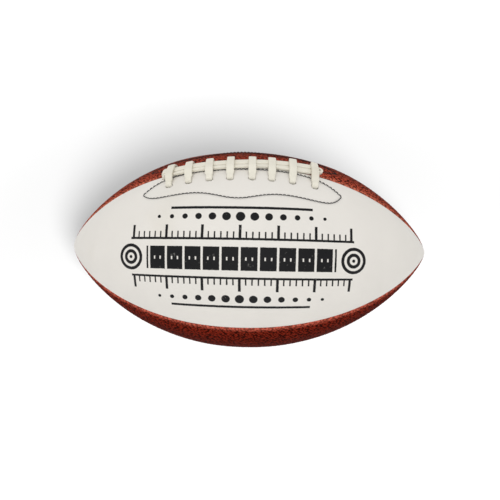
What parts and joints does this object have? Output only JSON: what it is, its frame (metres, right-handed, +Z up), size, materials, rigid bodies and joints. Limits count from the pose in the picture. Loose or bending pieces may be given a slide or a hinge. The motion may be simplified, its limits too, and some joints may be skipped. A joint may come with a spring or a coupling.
{
  "type": "american football",
  "caption": "Inflated leather-look ball with pointed ends, sewn from four panels over a rubber bladder and closed by a lace, for throwing and catching.",
  "frame": {"origin": "on the small flat that the ball rests on, under the middle of the ball", "axes": "+X along the ball from tip to tip, +Z up through the lace seam, -Y towards the printed white panel's side"},
  "size_m": [0.286, 0.1556, 0.1595],
  "materials": {
    "white_cover": "smooth printed synthetic leather, satin",
    "brown_cover": "pebbled synthetic leather, semi-gloss",
    "lace": "cream vinyl strap, satin",
    "black_thread": "waxed black sewing thread",
    "seam_thread": "natural waxed thread",
    "lining": "woven cloth",
    "facing": "plain synthetic leather, matte",
    "bladder": "black butyl rubber, matte",
    "valve": "dark rubber"
  },
  "bodies": {
    "root": {"panel_front_white": "white_cover", "panel_back_brown": "brown_cover", "panel_lower_brown": "brown_cover", "panel_rear_white": "white_cover", "lining_front": "lining", "lining_back": "lining", "lining_lower": "lining", "lining_rear": "lining", "lace_facing_front": "facing", "lace_facing_back": "facing", "facing_stitch_front": "black_thread", "facing_stitch_back": "black_thread", "lace_tongue": "facing", "lace": "lace", "seam_thread_lace_left": "seam_thread", "seam_thread_lace_right": "seam_thread", "seam_thread_front": "seam_thread", "seam_thread_lower": "seam_thread", "seam_thread_rear": "seam_thread", "bladder": "bladder", "valve_body": "valve", "valve_core": "valve"}
  },
  "joints": []
}
